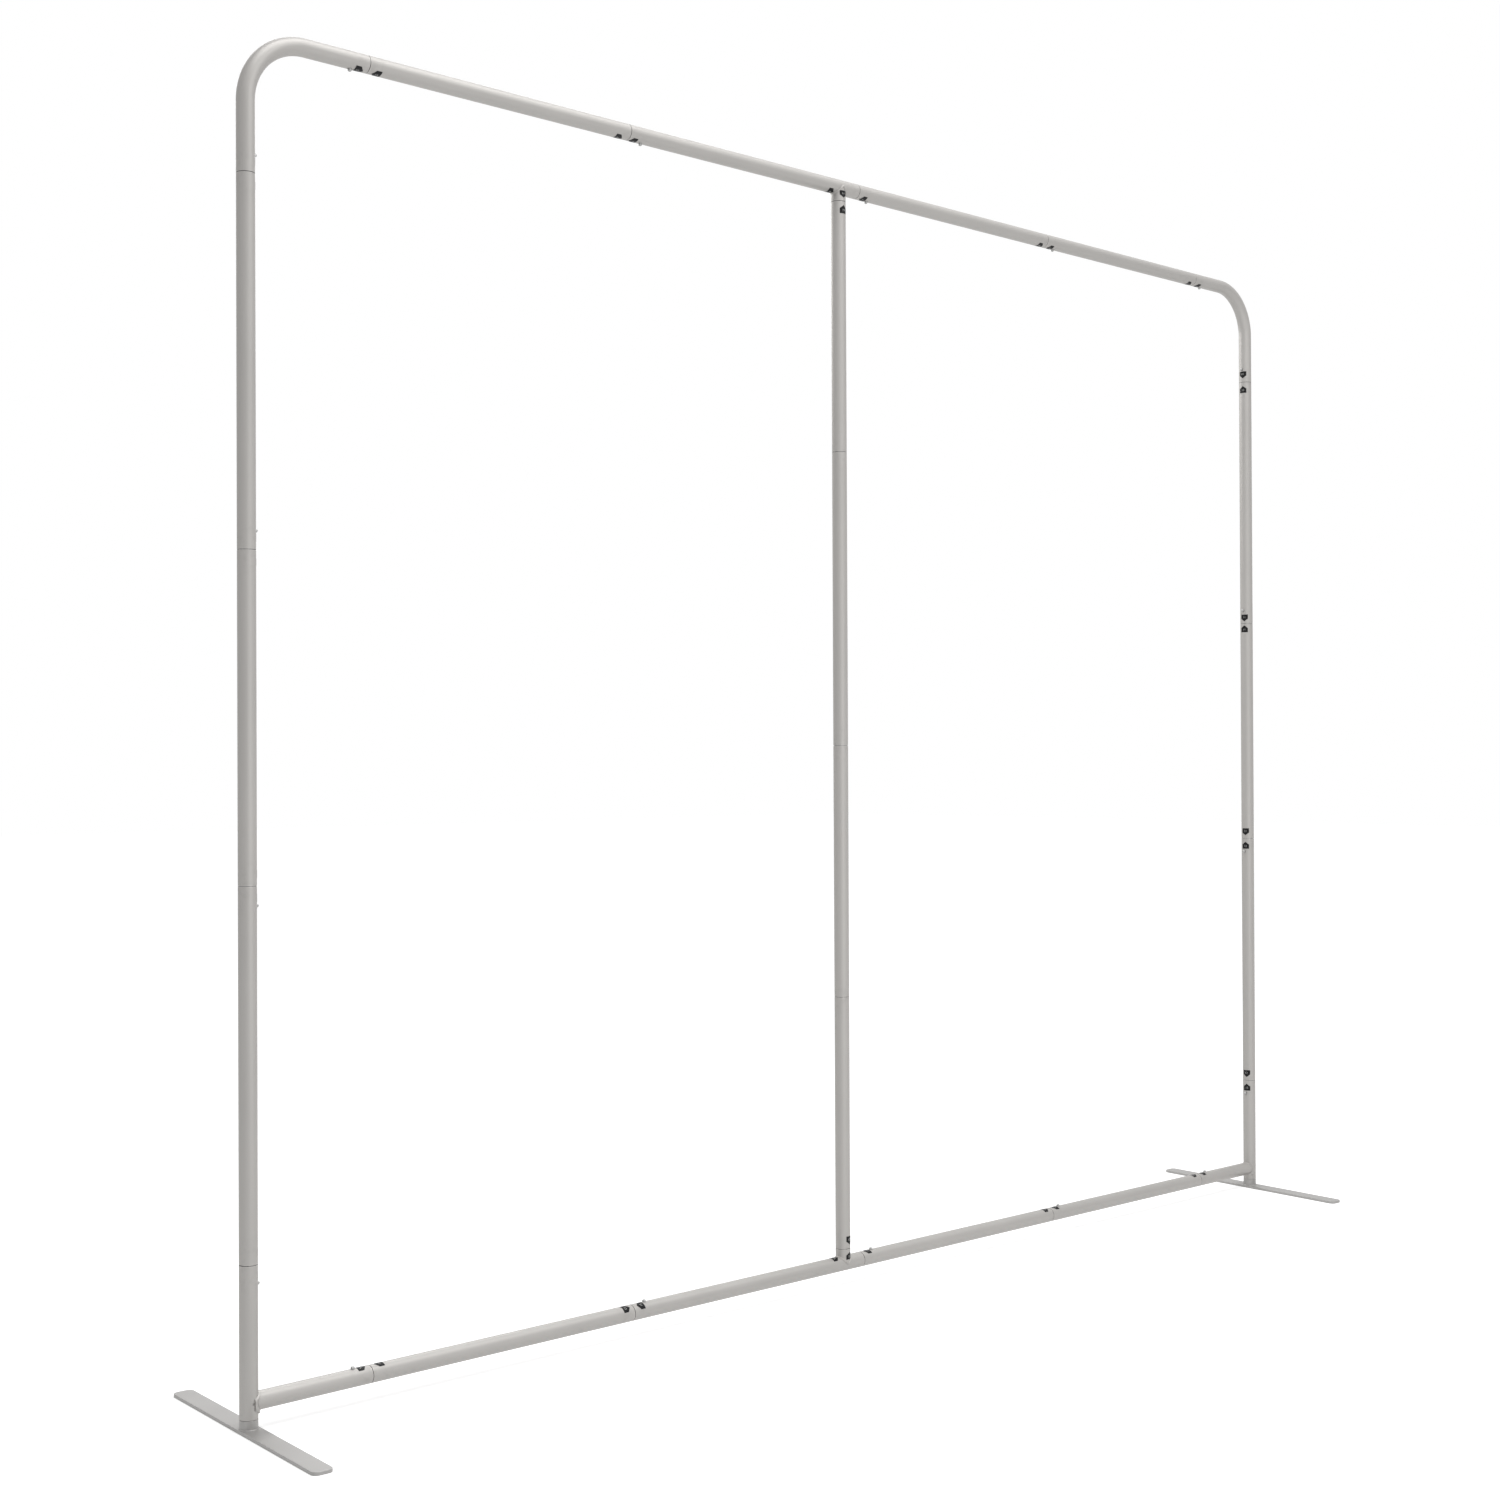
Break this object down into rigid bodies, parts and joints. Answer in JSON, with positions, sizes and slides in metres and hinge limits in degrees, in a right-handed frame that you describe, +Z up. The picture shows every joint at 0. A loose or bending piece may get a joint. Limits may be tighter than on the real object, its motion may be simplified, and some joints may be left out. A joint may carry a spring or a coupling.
{
  "type": "trade show display wall",
  "caption": "Free-standing display wall frame of satin round tube sections locked by sprung buttons, with rounded top corners, a centre post and flat plate feet.",
  "frame": {"origin": "on the floor, midway between the two uprights and under the tube axes", "axes": "+X along the wall to the right as seen from the front, +Y to the back, +Z up"},
  "size_m": [3.0428, 0.5498, 2.396],
  "materials": {
    "satin_tube": "satin silver",
    "foot_steel": "satin silver paint",
    "spigot_aluminium": "mill",
    "button_steel": "plated",
    "spring_steel": "blued"
  },
  "bodies": {
    "frame": {"left_bottom_leg": "satin_tube", "left_lower_upright": "satin_tube", "left_middle_upright": "satin_tube", "left_upper_upright": "satin_tube", "left_end_rail": "satin_tube", "right_bottom_leg": "satin_tube", "right_lower_upright": "satin_tube", "right_middle_upright": "satin_tube", "right_upper_upright": "satin_tube", "right_end_rail": "satin_tube", "top_rail_left_outer": "satin_tube", "top_rail_left_inner": "satin_tube", "top_rail_right_inner": "satin_tube", "top_rail_right_outer": "satin_tube", "bottom_rail_left_outer": "satin_tube", "bottom_rail_left_inner": "satin_tube", "bottom_rail_right_inner": "satin_tube", "bottom_rail_right_outer": "satin_tube", "bottom_tee_stub": "satin_tube", "post_bottom_tube": "satin_tube", "post_lower_tube": "satin_tube", "post_long_tube": "satin_tube", "post_upper_tube": "satin_tube", "top_tee_stub": "satin_tube", "left_top_corner": "satin_tube", "right_top_corner": "satin_tube", "rail_saddles": "satin_tube", "left_upright_spigots": "spigot_aluminium", "right_upright_spigots": "spigot_aluminium", "top_rail_spigots": "spigot_aluminium", "bottom_rail_spigots": "spigot_aluminium", "post_spigots": "spigot_aluminium", "upright_button_springs": "spring_steel", "rail_button_springs": "spring_steel", "post_button_springs": "spring_steel"},
    "left_foot": {"left_foot_plate": "foot_steel", "left_foot_post": "foot_steel"},
    "right_foot": {"right_foot_plate": "foot_steel", "right_foot_post": "foot_steel"},
    "left_upright_button_1": {"left_upright_button_1": "button_steel"},
    "left_upright_button_2": {"left_upright_button_2": "button_steel"},
    "left_upright_button_3": {"left_upright_button_3": "button_steel"},
    "left_upright_button_4": {"left_upright_button_4": "button_steel"},
    "right_upright_button_1": {"right_upright_button_1": "button_steel"},
    "right_upright_button_2": {"right_upright_button_2": "button_steel"},
    "right_upright_button_3": {"right_upright_button_3": "button_steel"},
    "right_upright_button_4": {"right_upright_button_4": "button_steel"},
    "top_rail_button_1": {"top_rail_button_1": "button_steel"},
    "top_rail_button_2": {"top_rail_button_2": "button_steel"},
    "top_rail_button_3": {"top_rail_button_3": "button_steel"},
    "top_rail_button_4": {"top_rail_button_4": "button_steel"},
    "top_rail_button_5": {"top_rail_button_5": "button_steel"},
    "bottom_rail_button_1": {"bottom_rail_button_1": "button_steel"},
    "bottom_rail_button_2": {"bottom_rail_button_2": "button_steel"},
    "bottom_rail_button_3": {"bottom_rail_button_3": "button_steel"},
    "bottom_rail_button_4": {"bottom_rail_button_4": "button_steel"},
    "bottom_rail_button_5": {"bottom_rail_button_5": "button_steel"},
    "post_button_1": {"post_button_1": "button_steel"},
    "post_button_2": {"post_button_2": "button_steel"},
    "post_button_3": {"post_button_3": "button_steel"}
  },
  "joints": [
    {"name": "left_foot_swivel", "type": "hinge", "parent": "frame", "child": "left_foot", "pos_m": [-1.484, 0, 0.022], "axis": [0, 0, 1], "continuous": true},
    {"name": "right_foot_swivel", "type": "hinge", "parent": "frame", "child": "right_foot", "pos_m": [1.484, 0, 0.022], "axis": [0, 0, 1], "continuous": true},
    {"name": "left_upright_button_1_press", "type": "slide", "parent": "frame", "child": "left_upright_button_1", "axis": [-1, 0, 0], "range_m": [0, 0.0067], "stiffness_N_per_m": 2500, "springref_m": -0.003},
    {"name": "left_upright_button_2_press", "type": "slide", "parent": "frame", "child": "left_upright_button_2", "axis": [-1, 0, 0], "range_m": [0, 0.0067], "stiffness_N_per_m": 2500, "springref_m": -0.003},
    {"name": "left_upright_button_3_press", "type": "slide", "parent": "frame", "child": "left_upright_button_3", "axis": [-1, 0, 0], "range_m": [0, 0.0067], "stiffness_N_per_m": 2500, "springref_m": -0.003},
    {"name": "left_upright_button_4_press", "type": "slide", "parent": "frame", "child": "left_upright_button_4", "axis": [-1, 0, 0], "range_m": [0, 0.0067], "stiffness_N_per_m": 2500, "springref_m": -0.003},
    {"name": "right_upright_button_1_press", "type": "slide", "parent": "frame", "child": "right_upright_button_1", "axis": [1, 0, 0], "range_m": [0, 0.0067], "stiffness_N_per_m": 2500, "springref_m": -0.003},
    {"name": "right_upright_button_2_press", "type": "slide", "parent": "frame", "child": "right_upright_button_2", "axis": [1, 0, 0], "range_m": [0, 0.0067], "stiffness_N_per_m": 2500, "springref_m": -0.003},
    {"name": "right_upright_button_3_press", "type": "slide", "parent": "frame", "child": "right_upright_button_3", "axis": [1, 0, 0], "range_m": [0, 0.0067], "stiffness_N_per_m": 2500, "springref_m": -0.003},
    {"name": "right_upright_button_4_press", "type": "slide", "parent": "frame", "child": "right_upright_button_4", "axis": [1, 0, 0], "range_m": [0, 0.0067], "stiffness_N_per_m": 2500, "springref_m": -0.003},
    {"name": "top_rail_button_1_press", "type": "slide", "parent": "frame", "child": "top_rail_button_1", "axis": [0, 0, 1], "range_m": [0, 0.0067], "stiffness_N_per_m": 2500, "springref_m": -0.003},
    {"name": "top_rail_button_2_press", "type": "slide", "parent": "frame", "child": "top_rail_button_2", "axis": [0, 0, 1], "range_m": [0, 0.0067], "stiffness_N_per_m": 2500, "springref_m": -0.003},
    {"name": "top_rail_button_3_press", "type": "slide", "parent": "frame", "child": "top_rail_button_3", "axis": [0, 0, 1], "range_m": [0, 0.0067], "stiffness_N_per_m": 2500, "springref_m": -0.003},
    {"name": "top_rail_button_4_press", "type": "slide", "parent": "frame", "child": "top_rail_button_4", "axis": [0, 0, 1], "range_m": [0, 0.0067], "stiffness_N_per_m": 2500, "springref_m": -0.003},
    {"name": "top_rail_button_5_press", "type": "slide", "parent": "frame", "child": "top_rail_button_5", "axis": [0, 0, 1], "range_m": [0, 0.0067], "stiffness_N_per_m": 2500, "springref_m": -0.003},
    {"name": "bottom_rail_button_1_press", "type": "slide", "parent": "frame", "child": "bottom_rail_button_1", "axis": [0, 0, -1], "range_m": [0, 0.0067], "stiffness_N_per_m": 2500, "springref_m": -0.003},
    {"name": "bottom_rail_button_2_press", "type": "slide", "parent": "frame", "child": "bottom_rail_button_2", "axis": [0, 0, -1], "range_m": [0, 0.0067], "stiffness_N_per_m": 2500, "springref_m": -0.003},
    {"name": "bottom_rail_button_3_press", "type": "slide", "parent": "frame", "child": "bottom_rail_button_3", "axis": [0, 0, -1], "range_m": [0, 0.0067], "stiffness_N_per_m": 2500, "springref_m": -0.003},
    {"name": "bottom_rail_button_4_press", "type": "slide", "parent": "frame", "child": "bottom_rail_button_4", "axis": [0, 0, -1], "range_m": [0, 0.0067], "stiffness_N_per_m": 2500, "springref_m": -0.003},
    {"name": "bottom_rail_button_5_press", "type": "slide", "parent": "frame", "child": "bottom_rail_button_5", "axis": [0, 0, -1], "range_m": [0, 0.0067], "stiffness_N_per_m": 2500, "springref_m": -0.003},
    {"name": "post_button_1_press", "type": "slide", "parent": "frame", "child": "post_button_1", "axis": [-1, 0, 0], "range_m": [0, 0.0067], "stiffness_N_per_m": 2500, "springref_m": -0.003},
    {"name": "post_button_2_press", "type": "slide", "parent": "frame", "child": "post_button_2", "axis": [-1, 0, 0], "range_m": [0, 0.0067], "stiffness_N_per_m": 2500, "springref_m": -0.003},
    {"name": "post_button_3_press", "type": "slide", "parent": "frame", "child": "post_button_3", "axis": [-1, 0, 0], "range_m": [0, 0.0067], "stiffness_N_per_m": 2500, "springref_m": -0.003}
  ]
}
